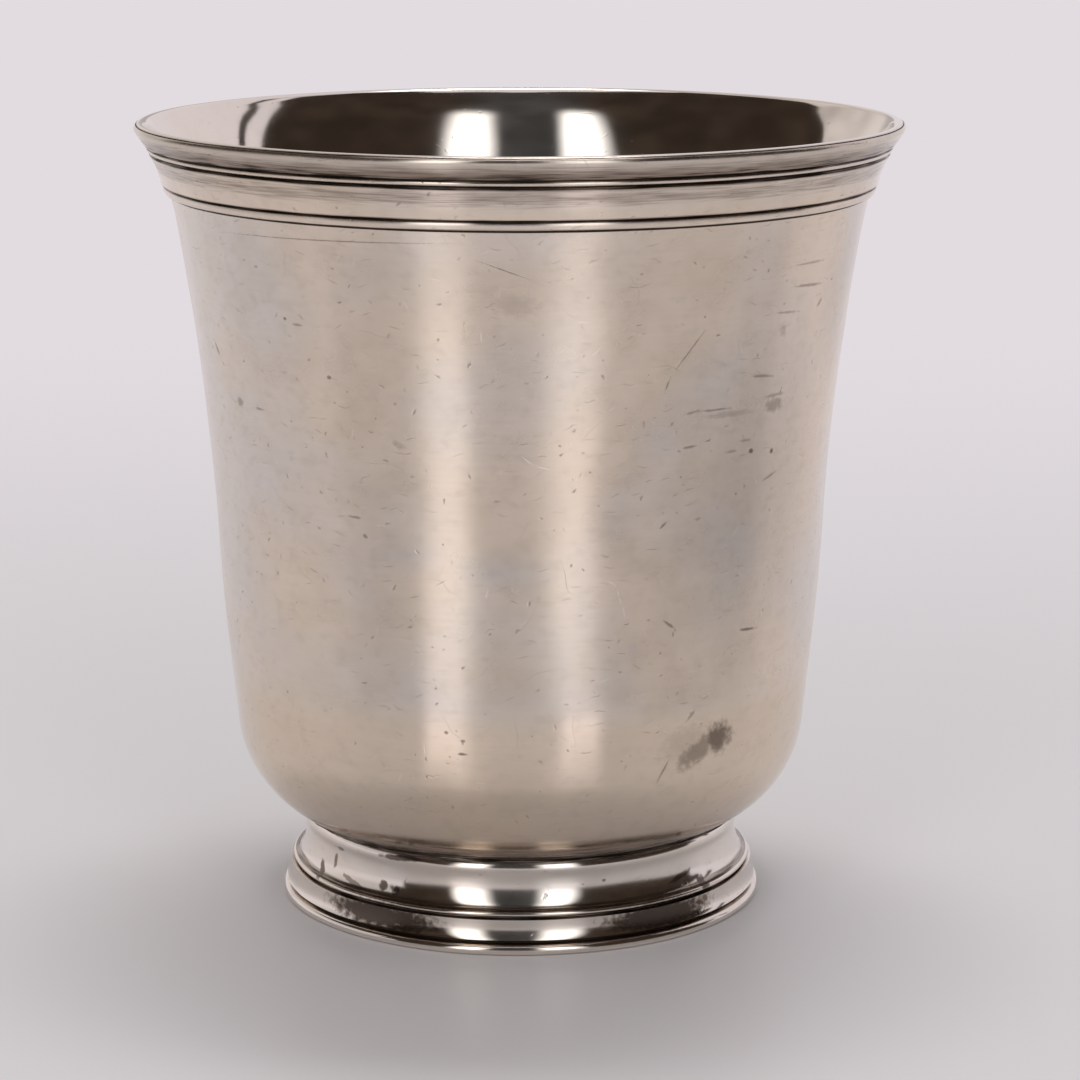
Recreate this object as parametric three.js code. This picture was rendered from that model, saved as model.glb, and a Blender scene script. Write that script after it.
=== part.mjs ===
// A footed silver beaker, built as a silversmith builds one: a raised bell-shaped bowl,
// a drawn reeded strip round its lip, a hollow spool foot and a moulded base ring, held
// together by three seams of hard solder. Millimetres, +Z up. The origin lies on the table,
// under the middle of the cup.

import * as THREE from 'three';

// Bowl. Radii are those of the outside, and a slope is the outward run per unit of height.
const CUP_HEIGHT = 90;
const BOWL_WALL = 0.8;
const LIP_RADIUS = 43.2;
const LIP_SLOPE = 0.75;
const FLARE_HEIGHT = 12.7;
const FLARE_RADIUS = 38.6;
const FLARE_SLOPE = 0.17;
const WAIST_HEIGHT = 46;
const WAIST_RADIUS = 34.97;
const WAIST_SLOPE = 0.055;
const SHOULDER_RADIUS = 32.85;
const SHOULDER_SLOPE = 0.11;
const TURN_RADIUS = 13.2;

// Reeded strip round the lip. Heights are taken up the bowl's wall, from the top down.
const STRIP_THICKNESS = 0.5;
const STRIP_CLEARANCE = 0.1;
const LIP_BAND_HEIGHT = 2.2;
const UPPER_THREAD_HEIGHT = 0.45;
const HOLLOW_HEIGHT = 3.4;
const LOWER_THREAD_HEIGHT = 0.85;
const GROOVE_HEIGHT = 0.3;
const GROOVE_DEPTH = 0.3;
const THREAD_ROUND = 0.12;
const HOLLOW_DEPTH = 0.1;

// Spool foot, of sheet. Its top edge is set back from the base ring's edge, the neck is its
// narrowest place, and the flange reaches out from the neck over the base ring.
const FOOT_WALL = 0.6;
const FOOT_TOP_SETBACK = 2.25;
const NECK_DEPTH = 0.55;
const NECK_RISE = 2.48;
const CAVETTO_HEIGHT = 2.75;
const FLANGE_REACH = 1.6;

// Base ring that the cup stands on
const BASE_RADIUS = 27.9;
const BASE_HEIGHT = 3.9;
const BASE_RING_WIDTH = 3.4;
const BEAD_HEIGHT = 1.2;
const BASE_GROOVE_HEIGHT = 0.5;
const BASE_GROOVE_DEPTH = 0.85;
const BAND_FOOT_SETBACK = 0.45;
const BAND_TOP_SETBACK = 0.9;
const BAND_FLARE_HEIGHT = 0.6;

// Solder seams
const FOOT_SEAM = 0.3;
const FOOT_SEAM_WIDTH = 1;
const BASE_SEAM = 0.2;
const BASE_SEAM_WIDTH = 1;
const BASE_SEAM_RECESS = 0.3;
const RIM_FILLET = 0.35;
const SOLDER_CLEARANCE = 0.05;

// Facets
const ROUND_STEPS = 48;
const TURN_STEPS = 8;
const WALL_STEPS = 4;
const FLARE_STEPS = 2;
const STRIP_STEPS = 4;
const CURVE_STEPS = 4;
const END_STEPS = 4;
const LIP_STEPS = 2;
const SEAM_STEPS = 2;
const SAME_POINT = 1e-3;

const SATIN_SILVER = { color: 0xb9aca2, roughness: 0.38, metalness: 1 };
const BRIGHT_SILVER = { color: 0xd2c9c1, roughness: 0.12, metalness: 1 };
const DULL_SOLDER = { color: 0x6f6459, roughness: 0.6, metalness: 1 };

// Heights up the stack: base ring, solder, foot, and the bowl that rests on the foot
const flangeMiddle = BASE_HEIGHT + BASE_SEAM + FOOT_WALL / 2;
const neckHeight = flangeMiddle + CAVETTO_HEIGHT;
const footTopRadius = BASE_RADIUS - FOOT_TOP_SETBACK;
const neckRadius = footTopRadius - NECK_DEPTH;
const flangeRadius = neckRadius + FLANGE_REACH;
const footTopMiddle = new THREE.Vector2(footTopRadius - FOOT_WALL / 2, neckHeight + NECK_RISE);

// The bowl's round turn meets the wall at the shoulder, and lies on the foot's rounded top
const shoulderAngle = Math.atan(SHOULDER_SLOPE);
const turnCentreRadius = SHOULDER_RADIUS - TURN_RADIUS * Math.cos(shoulderAngle);
const footReach = Math.max(0, footTopMiddle.x - turnCentreRadius);
const seamDistance = TURN_RADIUS + FOOT_SEAM + FOOT_WALL / 2;
const turnCentre = new THREE.Vector2(
  turnCentreRadius,
  footTopMiddle.y + Math.sqrt(seamDistance ** 2 - footReach ** 2),
);
const floorHeight = turnCentre.y - TURN_RADIUS;
const shoulderHeight = turnCentre.y - TURN_RADIUS * Math.sin(shoulderAngle);

// The lip's round has the wall's thickness, and its top is the top of the cup
const lipAngle = Math.atan(LIP_SLOPE);
const lipHeight = CUP_HEIGHT - BOWL_WALL * (1 - Math.cos(lipAngle));

const at = (radius, height) => new THREE.Vector2(radius, height);

// A stretch of wall between two stations, with its height running evenly
function wallCurve(low, high) {
  const third = (high.height - low.height) / 3;
  return new THREE.CubicBezierCurve(
    at(low.radius, low.height),
    at(low.radius + low.slope * third, low.height + third),
    at(high.radius - high.slope * third, high.height - third),
    at(high.radius, high.height),
  );
}

const shoulder = { radius: SHOULDER_RADIUS, height: shoulderHeight, slope: SHOULDER_SLOPE };
const waist = { radius: WAIST_RADIUS, height: WAIST_HEIGHT, slope: WAIST_SLOPE };
const flare = { radius: FLARE_RADIUS, height: CUP_HEIGHT - FLARE_HEIGHT, slope: FLARE_SLOPE };
const lip = { radius: LIP_RADIUS, height: lipHeight, slope: LIP_SLOPE };

const floorLine = new THREE.LineCurve(at(0, floorHeight), at(turnCentre.x, floorHeight));
const turnArc = new THREE.EllipseCurve(
  turnCentre.x, turnCentre.y, TURN_RADIUS, TURN_RADIUS, -Math.PI / 2, -shoulderAngle,
);
const stretches = [
  { low: shoulder, high: waist },
  { low: waist, high: flare },
  { low: flare, high: lip },
];

// The unit vector to the right of a curve's run
function rightOf(curve, t) {
  const along = curve.getTangent(t);
  return at(along.y, -along.x);
}

// A curve's points moved sideways, to the right where the distance is positive
function offset(curve, steps, distance) {
  const points = [];
  for (let i = 0; i <= steps; i += 1) {
    const t = i / steps;
    points.push(rightOf(curve, t).multiplyScalar(distance).add(curve.getPoint(t)));
  }
  return points;
}

// Points of an arc, both ends included
function arc(centre, radius, startAngle, endAngle, steps) {
  const points = [];
  for (let i = 0; i <= steps; i += 1) {
    const angle = startAngle + (endAngle - startAngle) * (i / steps);
    points.push(at(centre.x + radius * Math.cos(angle), centre.y + radius * Math.sin(angle)));
  }
  return points;
}

// A point at a height up the bowl's wall, stood off it by a distance along its normal
function onWall(height, distance) {
  const below = (stretch) => height <= stretch.high.height;
  const { low, high } = stretches.find(below) ?? stretches.at(-1);
  const curve = wallCurve(low, high);
  const t = (height - low.height) / (high.height - low.height);
  return rightOf(curve, t).multiplyScalar(distance).add(curve.getPoint(t));
}

// Heights that split a stretch evenly, both ends included
function heightsBetween(low, high, steps) {
  return Array.from({ length: steps + 1 }, (_, i) => low + ((high - low) * i) / steps);
}

// Points that repeat their neighbour are left out
function withoutRepeats(points) {
  return points.filter((point, i) => i === 0 || point.distanceTo(points[i - 1]) > SAME_POINT);
}

// A ring's section, ended where it started
function closed(points) {
  const start = points[0];
  const last = points.findLast((point) => point.distanceTo(start) > SAME_POINT);
  return [...points.slice(0, points.lastIndexOf(last) + 1), start];
}

// A round piece named for its node, turned from its section about the upright axis
function turned(name, section, finish) {
  const geometry = new THREE.LatheGeometry(withoutRepeats(section), ROUND_STEPS);
  geometry.rotateX(Math.PI / 2);
  const piece = new THREE.Mesh(geometry, new THREE.MeshStandardMaterial(finish));
  piece.name = name;
  return piece;
}

// The strip's reeds from the top down: how tall, and how far the middle or the edges sink
const reeds = [
  { height: LIP_BAND_HEIGHT, edges: 0, middle: 0 },
  { height: UPPER_THREAD_HEIGHT, edges: THREAD_ROUND, middle: 0 },
  { height: HOLLOW_HEIGHT, edges: 0, middle: HOLLOW_DEPTH },
  { height: LOWER_THREAD_HEIGHT, edges: THREAD_ROUND, middle: 0 },
];
const reedHeights = reeds.reduce((sum, reed) => sum + reed.height, 0);
const stripBottom = CUP_HEIGHT - reedHeights - (reeds.length - 1) * GROOVE_HEIGHT;
const filletTop = stripBottom - SOLDER_CLEARANCE;
const filletBottom = filletTop - RIM_FILLET;

// The bowl, the strip and its solder have their facets at the same heights, so they stay clear
const wallHeights = [
  ...heightsBetween(shoulder.height, waist.height, WALL_STEPS),
  ...heightsBetween(waist.height, flare.height, WALL_STEPS),
  ...heightsBetween(flare.height, filletBottom, FLARE_STEPS),
  ...heightsBetween(stripBottom, lip.height, STRIP_STEPS),
].sort((low, high) => low - high);

// Raised bowl: its outside from the axis to the lip, then the inside back to the axis
function makeBowl() {
  const lipCentre = at(
    lip.radius - BOWL_WALL * Math.sin(lipAngle),
    lip.height - BOWL_WALL * Math.cos(lipAngle),
  );
  const alongLip = Math.PI / 2 - lipAngle;
  const lipRound = [
    ...arc(lipCentre, BOWL_WALL, alongLip, Math.PI / 2, LIP_STEPS),
    ...arc(lipCentre, BOWL_WALL, Math.PI / 2, alongLip + Math.PI / 2, LIP_STEPS),
  ];
  const side = (distance) => [
    ...offset(floorLine, 1, distance),
    ...offset(turnArc, TURN_STEPS, distance),
    ...wallHeights.map((height) => onWall(height, distance)),
  ];
  const inside = side(-BOWL_WALL).filter((point) => point.y < lipRound.at(-1).y);
  return turned('bowl', [...side(0), ...lipRound, ...inside.reverse()], SATIN_SILVER);
}

// Applied strip: a round top edge, reeds with grooves between them, and a back on the bowl
function makeRimMoulding() {
  const proud = STRIP_CLEARANCE + STRIP_THICKNESS;
  const outward = -lipAngle;
  const topBack = onWall(lip.height, STRIP_CLEARANCE);
  const topCentre = at(
    topBack.x - STRIP_THICKNESS * Math.sin(lipAngle),
    topBack.y - STRIP_THICKNESS * Math.cos(lipAngle),
  );
  const face = arc(topCentre, STRIP_THICKNESS, outward + Math.PI / 2, outward, END_STEPS);
  let top = CUP_HEIGHT;
  reeds.forEach((reed, place) => {
    const isLipBand = place === 0;
    const steps = isLipBand ? 1 : CURVE_STEPS;
    for (let i = isLipBand ? 1 : 0; i <= steps; i += 1) {
      const across = (2 * i) / steps - 1;
      const sink = reed.middle + (reed.edges - reed.middle) * across ** 2;
      face.push(onWall(top - (reed.height * i) / steps, proud - sink));
    }
    top -= reed.height;
    if (place < reeds.length - 1) {
      face.push(onWall(top - GROOVE_HEIGHT / 2, proud - GROOVE_DEPTH));
      top -= GROOVE_HEIGHT;
    }
  });
  const backHeights = wallHeights.filter((height) => height >= stripBottom).reverse();
  const back = backHeights.map((height) => onWall(height, STRIP_CLEARANCE));
  return turned('rim_moulding', closed([...face.reverse(), ...back]), SATIN_SILVER);
}

// Fillet of solder in the corner under the strip
function makeRimSolder() {
  const corner = onWall(filletTop, SOLDER_CLEARANCE);
  const foot = onWall(filletBottom, SOLDER_CLEARANCE);
  const edge = onWall(filletTop, SOLDER_CLEARANCE + RIM_FILLET);
  return turned('rim_solder', closed([corner, foot, edge]), DULL_SOLDER);
}

// Spool foot: a strip of sheet that runs in from the flange, up the neck and out to the top
function makeFootSpool() {
  const half = FOOT_WALL / 2;
  const neck = at(neckRadius - half, neckHeight);
  const flangeEnd = at(flangeRadius - half, flangeMiddle);
  const cavetto = new THREE.EllipseCurve(
    flangeEnd.x, neck.y, flangeEnd.x - neck.x, CAVETTO_HEIGHT, 1.5 * Math.PI, Math.PI, true,
  );
  const rise = new THREE.QuadraticBezierCurve(
    neck, at(neck.x, neck.y + NECK_RISE / 2), footTopMiddle,
  );
  const side = (distance) => [
    ...offset(cavetto, 2 * CURVE_STEPS, distance),
    ...offset(rise, CURVE_STEPS, distance),
  ];
  const topRun = rise.getTangent(1).angle();
  const topEnd = arc(footTopMiddle, half, topRun - Math.PI / 2, topRun + Math.PI / 2, END_STEPS);
  const flangeRound = arc(flangeEnd, half, -Math.PI / 2, Math.PI / 2, END_STEPS);
  const section = [...side(half), ...topEnd, ...side(-half).reverse(), ...flangeRound];
  return turned('foot_spool', closed(section), BRIGHT_SILVER);
}

// Seam of solder that follows the bowl's underside over the foot's top edge
function makeFootSolder() {
  const seamCentre = at(footTopMiddle.x - footReach, turnCentre.y);
  const seamAngle = footTopMiddle.clone().sub(seamCentre).angle();
  const halfTurn = FOOT_SEAM_WIDTH / 2 / TURN_RADIUS;
  const band = [
    [TURN_RADIUS + FOOT_SEAM - SOLDER_CLEARANCE, seamAngle - halfTurn, seamAngle + halfTurn],
    [TURN_RADIUS + SOLDER_CLEARANCE, seamAngle + halfTurn, seamAngle - halfTurn],
  ];
  const section = band.flatMap(
    ([radius, start, end]) => arc(seamCentre, radius, start, end, SEAM_STEPS),
  );
  return turned('foot_solder', closed(section), DULL_SOLDER);
}

// Base ring: flat underside, bead, groove, hollow band, flat top under the foot's flange
function makeBaseMoulding() {
  const inner = BASE_RADIUS - BASE_RING_WIDTH;
  const bead = BEAD_HEIGHT / 2;
  const bandFoot = at(BASE_RADIUS - BAND_FOOT_SETBACK, BEAD_HEIGHT + BASE_GROOVE_HEIGHT);
  const bandTop = at(BASE_RADIUS - BAND_TOP_SETBACK, BASE_HEIGHT);
  const band = new THREE.QuadraticBezierCurve(
    bandFoot, at(bandTop.x, bandFoot.y + BAND_FLARE_HEIGHT), bandTop,
  );
  const section = [
    at(inner, 0),
    ...arc(at(BASE_RADIUS - bead, bead), bead, -Math.PI / 2, Math.PI / 2, 2 * END_STEPS),
    at(BASE_RADIUS - BASE_GROOVE_DEPTH, BEAD_HEIGHT + BASE_GROOVE_HEIGHT / 2),
    ...offset(band, CURVE_STEPS, 0),
    at(inner, BASE_HEIGHT),
  ];
  return turned('base_moulding', closed(section), BRIGHT_SILVER);
}

// Flat seam of solder between the base ring and the foot's flange
function makeBaseSolder() {
  const outer = flangeRadius - BASE_SEAM_RECESS;
  const inner = outer - BASE_SEAM_WIDTH;
  const top = BASE_HEIGHT + BASE_SEAM;
  const section = [at(inner, BASE_HEIGHT), at(outer, BASE_HEIGHT), at(outer, top), at(inner, top)];
  return turned('base_solder', closed(section), DULL_SOLDER);
}

const cup = new THREE.Group();
cup.add(makeBowl());
cup.add(makeRimMoulding());
cup.add(makeRimSolder());
cup.add(makeFootSpool());
cup.add(makeFootSolder());
cup.add(makeBaseMoulding());
cup.add(makeBaseSolder());

export default cup;
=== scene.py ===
"""A footed silver beaker: a raised bell-shaped bowl with a reeded strip soldered round its lip,
a hollow spool foot and a moulded base ring, with the finish of old, much handled silver."""

import math
from collections import namedtuple

import bmesh
import bpy
from bpy.props import FloatProperty, FloatVectorProperty, IntProperty, PointerProperty
from bpy.types import Operator, Panel, PropertyGroup
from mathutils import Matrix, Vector, noise


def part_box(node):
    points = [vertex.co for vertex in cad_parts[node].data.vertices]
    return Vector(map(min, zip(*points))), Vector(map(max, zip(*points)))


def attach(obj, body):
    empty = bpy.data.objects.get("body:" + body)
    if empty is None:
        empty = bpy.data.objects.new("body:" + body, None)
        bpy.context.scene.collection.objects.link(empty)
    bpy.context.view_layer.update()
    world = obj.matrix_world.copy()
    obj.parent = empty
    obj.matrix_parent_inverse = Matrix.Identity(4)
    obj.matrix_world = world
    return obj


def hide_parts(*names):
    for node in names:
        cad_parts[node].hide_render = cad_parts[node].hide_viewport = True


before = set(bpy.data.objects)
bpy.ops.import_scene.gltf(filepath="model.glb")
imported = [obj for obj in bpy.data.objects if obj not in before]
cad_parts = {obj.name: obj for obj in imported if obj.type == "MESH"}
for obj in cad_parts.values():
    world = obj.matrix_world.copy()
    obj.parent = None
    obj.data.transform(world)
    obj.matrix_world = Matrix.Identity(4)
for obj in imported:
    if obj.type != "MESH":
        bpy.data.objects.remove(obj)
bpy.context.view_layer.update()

bl_info = {
    "name": "Footed silver beaker",
    "version": (1, 0, 0),
    "blender": (4, 5, 0),
    "location": "3D View > Sidebar > Beaker",
    "description": "Builds a silver beaker on a low foot, with its worn finish and a pale stage",
    "category": "Object",
}

MM = 0.001

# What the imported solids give: the ends of each piece, in metres
BOWL_LOW, BOWL_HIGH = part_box("bowl")
FOOT_LOW, FOOT_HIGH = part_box("foot_spool")
BASE_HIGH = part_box("base_moulding")[1]
CUP_HEIGHT = BOWL_HIGH.z

# Vertex values that the finishes read: black oxide with painted shade, shelter from handling with
# painted shade, and the polished inside
OXIDE_AND_SHADE = "oxide"
SHELTER_AND_SHADE = "shelter"
POLISH = "polish"

Point = namedtuple("Point", "radius height oxide shelter polish", defaults=(0.0, 0.0, 0.0))
Station = namedtuple("Station", "radius height slope")
Reed = namedtuple(
    "Reed", "tall edges middle tarnish tarnish_at tarnish_reach", defaults=(0, 0, 0, 1)
)

# Single marks of long use, and patches of painted shade. A mark has its degrees round from the front,
# its height, its half width and half height in millimetres, its lean in degrees and its strength.
Mark = namedtuple("Mark", "turn height wide tall lean strength")
BOWL_STAINS = (
    Mark(41.0, 24.4, 2.9, 2.4, 0, 0.95),
    Mark(36.5, 23.4, 4.8, 1.9, 28, 0.65),
    Mark(33.0, 24.5, 5.0, 2.6, 10, 0.2),
    Mark(28.5, 21.6, 1.8, 0.2, 60, 0.6),
    Mark(44.5, 56.5, 0.42, 0.36, 0, 0.9),
    Mark(50.3, 56.0, 0.46, 0.42, 0, 0.95),
    Mark(49.6, 61.2, 2.2, 1.0, 0, 0.5),
    Mark(49.3, 62.3, 2.0, 0.3, 0, 0.45),
    Mark(38.5, 61.0, 4.6, 0.5, 0, 0.22),
    Mark(45.6, 64.7, 2.2, 0.24, -6, 0.5),
    Mark(49.6, 69.4, 0.8, 1.1, 30, 0.25),
    Mark(50.0, 71.4, 2.6, 0.2, -4, 0.4),
    Mark(55.5, 74.0, 4.0, 0.24, -3, 0.6),
    Mark(55.0, 76.5, 4.0, 0.18, 0, 0.45),
    Mark(60.1, 71.7, 0.9, 0.3, 40, 0.6),
    Mark(35.4, 61.7, 2.6, 0.18, 0, 0.5),
    Mark(30.4, 61.7, 1.2, 0.2, 10, 0.4),
    Mark(30.3, 57.9, 1.2, 0.2, 5, 0.5),
    Mark(42.5, 57.8, 1.1, 0.22, 0, 0.4),
    Mark(39.5, 56.8, 1.0, 0.2, 0, 0.35),
    Mark(50.4, 53.2, 1.5, 0.22, 18, 0.55),
    Mark(26.0, 49.5, 0.7, 0.2, 42, 0.55),
    Mark(28.9, 68.4, 3.4, 0.12, 53, 0.5),
    Mark(25.3, 65.0, 0.8, 0.16, 70, 0.5),
    Mark(27.9, 38.4, 1.2, 0.22, -35, 0.55),
    Mark(33.9, 27.5, 1.2, 0.26, 45, 0.45),
    Mark(47.0, 36.2, 1.8, 0.26, -5, 0.8),
    Mark(-64.2, 66.2, 1.0, 0.34, -58, 0.6),
    Mark(-57.4, 60.8, 0.9, 0.8, 0, 0.5),
    Mark(-51.0, 60.6, 1.0, 0.22, -3, 0.5),
    Mark(-41.4, 71.3, 0.36, 0.3, 0, 0.7),
    Mark(-38.8, 70.8, 0.9, 0.2, 0, 0.45),
    Mark(-33.1, 65.4, 0.34, 0.28, 0, 0.65),
    Mark(-20.5, 58.6, 1.3, 0.5, -25, 0.22),
    Mark(-27.9, 48.2, 0.4, 0.28, -30, 0.5),
    Mark(-29.9, 50.2, 1.0, 0.22, -4, 0.5),
    Mark(-0.5, 74.0, 3.0, 1.8, 0, 0.13),
    Mark(-10.6, 24.5, 0.7, 0.22, 0, 0.9),
    Mark(-13.6, 26.9, 0.36, 0.26, 0, 0.8),
    Mark(-10.5, 26.0, 0.36, 0.24, 0, 0.75),
    Mark(-31.0, 80.3, 16.5, 0.09, 1.5, 0.6),
    Mark(-2.0, 77.8, 3.4, 0.1, -22, 0.5),
)
BOWL_SCRATCHES = (
    Mark(1.5, 57.3, 1.1, 0.09, -40, 0.9),
    Mark(4.2, 56.5, 1.2, 0.09, -15, 0.9),
    Mark(16.5, 43.6, 0.8, 0.1, -32, 0.8),
    Mark(18.0, 42.0, 1.3, 0.09, -74, 0.7),
    Mark(19.0, 40.2, 0.8, 0.09, -78, 0.7),
)
BOWL_TAN = (
    Mark(-31.5, 60.0, 9.0, 5.0, 10, 0.6),
    Mark(-37.0, 41.0, 7.0, 6.0, 0, 0.5),
    Mark(-21.0, 66.5, 6.0, 3.0, 0, 0.5),
    Mark(33.0, 77.0, 6.0, 3.5, 0, 0.5),
    Mark(24.5, 65.5, 6.0, 3.0, 0, 0.45),
    Mark(45.0, 31.0, 7.0, 4.0, 20, 0.6),
    Mark(36.0, 23.5, 7.0, 4.0, 20, 0.7),
    Mark(-2.0, 34.0, 12.0, 6.0, 0, 0.9),
    Mark(14.0, 35.0, 8.0, 8.0, 0, 0.8),
)
BOWL_HAZE = (
    Mark(-3.0, 45.0, 8.0, 3.2, -5, 0.75),
    Mark(-20.0, 46.5, 7.0, 2.8, 4, 0.55),
    Mark(24.0, 59.0, 4.0, 4.0, 0, 0.5),
    Mark(18.0, 51.5, 3.2, 5.0, 0, 0.5),
    Mark(43.0, 46.5, 5.0, 4.0, 0, 0.45),
    Mark(21.0, 36.0, 1.0, 1.3, 0, 0.8),
)
# Painted shade: grey patches where the bowl is to look darker, and a ring all round the lip band
BOWL_PAINTED_SHADE = (
    Mark(46.0, 52.0, 16.0, 27.0, 0, 1.0),
    Mark(37.0, 60.0, 10.0, 9.0, 0, 0.35),
    Mark(47.0, 73.0, 9.0, 7.0, 0, 0.3),
    Mark(74.0, 74.0, 12.0, 18.0, 0, 0.9),
    Mark(13.0, 32.0, 7.0, 9.0, 0, 0.35),
    Mark(14.0, 25.0, 8.0, 5.0, 0, 0.7),
    Mark(-13.0, 21.5, 8.0, 3.5, 0, 0.6),
    Mark(-13.5, 77.0, 9.0, 8.0, 0, 0.45),
    Mark(10.5, 77.0, 9.0, 7.0, 0, 0.35),
    Mark(0.0, 21.0, 26.0, 3.6, 0, 0.5),
    Mark(0.0, 88.9, 400.0, 2.6, 0, 1.0),
)
FOOT_STAINS = (
    Mark(-54.0, 8.5, 1.2, 0.35, 0, 0.8),
    Mark(-56.5, 6.8, 0.6, 1.4, 0, 0.9),
    Mark(-62.0, 5.4, 2.0, 0.7, -45, 0.95),
    Mark(-47.0, 5.3, 4.0, 0.5, -12, 0.8),
    Mark(-37.0, 5.9, 1.0, 1.0, 20, 0.95),
    Mark(-33.0, 5.6, 0.8, 0.8, -30, 0.8),
    Mark(52.5, 4.9, 1.3, 1.2, 30, 0.95),
    Mark(51.0, 3.4, 1.0, 0.6, -40, 0.9),
    Mark(46.0, 6.2, 3.0, 0.5, 12, 0.85),
    Mark(22.0, 7.4, 0.45, 0.3, 0, 0.85),
    Mark(-32.0, 9.4, 4.6, 0.5, 3, 0.95),
)
BASE_TARNISH = (
    Mark(-36.0, 3.0, 11.5, 2.2, 0, 0.98),
    Mark(36.0, 3.0, 11.5, 2.2, 0, 0.98),
)


def length(name, description, default):
    """A size in metres that a user can change."""
    return FloatProperty(
        name=name, description=description, default=default, unit="LENGTH", precision=5
    )


def share(name, description, default):
    """A number without a unit that a user can change."""
    return FloatProperty(name=name, description=description, default=default, precision=3)


def colour(name, description, default):
    """A colour that a user can change."""
    return FloatVectorProperty(
        name=name, description=description, default=default, subtype="COLOR", min=0, max=1
    )


class BowlSettings(PropertyGroup):
    """Sizes of the raised bowl."""

    wall: length("Wall", "Thickness of the raised sheet", 0.8 * MM)
    lip_slope: share("Lip slope", "Outward run per rise at the lip", 0.75)
    flare_drop: length("Flare drop", "How far under the top the lip's flare begins", 12.7 * MM)
    flare_radius: length("Flare radius", "Outside radius where the flare begins", 38.6 * MM)
    flare_slope: share("Flare slope", "Outward run per rise where the flare begins", 0.17)
    waist_height: length("Waist height", "Height of the straightest place", 46 * MM)
    waist_radius: length("Waist radius", "Outside radius at the straightest place", 34.97 * MM)
    waist_slope: share("Waist slope", "Outward run per rise at the waist", 0.055)
    shoulder_radius: length("Shoulder radius", "Outside radius above the turn", 32.85 * MM)
    shoulder_slope: share("Shoulder slope", "Outward run per rise above the turn", 0.11)
    turn_radius: length("Turn radius", "Radius of the turn into the bottom", 13.2 * MM)
    punch_radius: length("Punch radius", "Radius of the centre mark underneath", 0.7 * MM)
    punch_depth: length("Punch depth", "Depth of the centre mark underneath", 0.25 * MM)


class RimSettings(PropertyGroup):
    """Sizes of the reeded strip round the lip."""

    thickness: length("Thickness", "Thickness of the drawn strip", 0.5 * MM)
    clearance: length("Clearance", "Film between the strip and the bowl", 0.1 * MM)
    lip_band: length("Lip band", "Height of the band at the lip", 2.2 * MM)
    upper_thread: length("Upper thread", "Height of the thin thread under it", 0.45 * MM)
    hollow: length("Hollow", "Height of the hollow band", 3.4 * MM)
    lower_thread: length("Lower thread", "Height of the thread at the bottom", 0.85 * MM)
    groove: length("Groove", "Height of a groove between reeds", 0.3 * MM)
    groove_depth: length("Groove depth", "Depth of a groove between reeds", 0.3 * MM)
    thread_round: length("Thread round", "How far a thread's edges fall back", 0.12 * MM)
    hollow_depth: length("Hollow depth", "How far the hollow band sinks", 0.1 * MM)


class FootSettings(PropertyGroup):
    """Sizes of the spool foot and the base ring."""

    wall: length("Foot wall", "Thickness of the foot's sheet", 0.6 * MM)
    neck_depth: length("Neck depth", "How far the neck lies inside the top edge", 0.55 * MM)
    neck_rise: length("Neck rise", "Height from the neck to the top edge", 1.63 * MM)
    cavetto: length("Cavetto", "Height of the hollow above the flange", 3.6 * MM)
    shoulder: length("Shoulder", "Radius of the foot's rounded top edge outside", 1.2 * MM)
    flange_reach: length("Flange reach", "How far the flange stands out from the neck", 1.6 * MM)
    ring_width: length("Ring width", "Width of the base ring", 3.4 * MM)
    bead: length("Bead", "Height of the bead that it stands on", 1.2 * MM)
    groove: length("Base groove", "Height of the groove over the bead", 0.5 * MM)
    groove_depth: length("Base groove depth", "Depth of the groove over the bead", 0.85 * MM)
    band_foot: length("Band foot", "Setback of the band's lower edge", 0.45 * MM)
    band_top: length("Band top", "Setback of the band's upper edge", 0.9 * MM)
    band_flare: length("Band flare", "Height of the band's outward curve", 0.6 * MM)


class SolderSettings(PropertyGroup):
    """Sizes of the soldered seams."""

    seam: length("Foot seam", "Thickness of the seam between bowl and foot", 0.3 * MM)
    seam_width: length("Foot seam width", "Width of that seam", 1.0 * MM)
    base_width: length("Base seam width", "Width of the seam over the base ring", 1.0 * MM)
    base_recess: length("Base seam recess", "How far that seam lies inside the flange", 0.3 * MM)
    fillet: length("Rim fillet", "Size of the fillet under the reeded strip", 0.35 * MM)
    clearance: length("Clearance", "Space between solder and silver", 0.05 * MM)
    ragged: length("Ragged", "How unevenly the solder flowed", 0.12 * MM)


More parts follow.
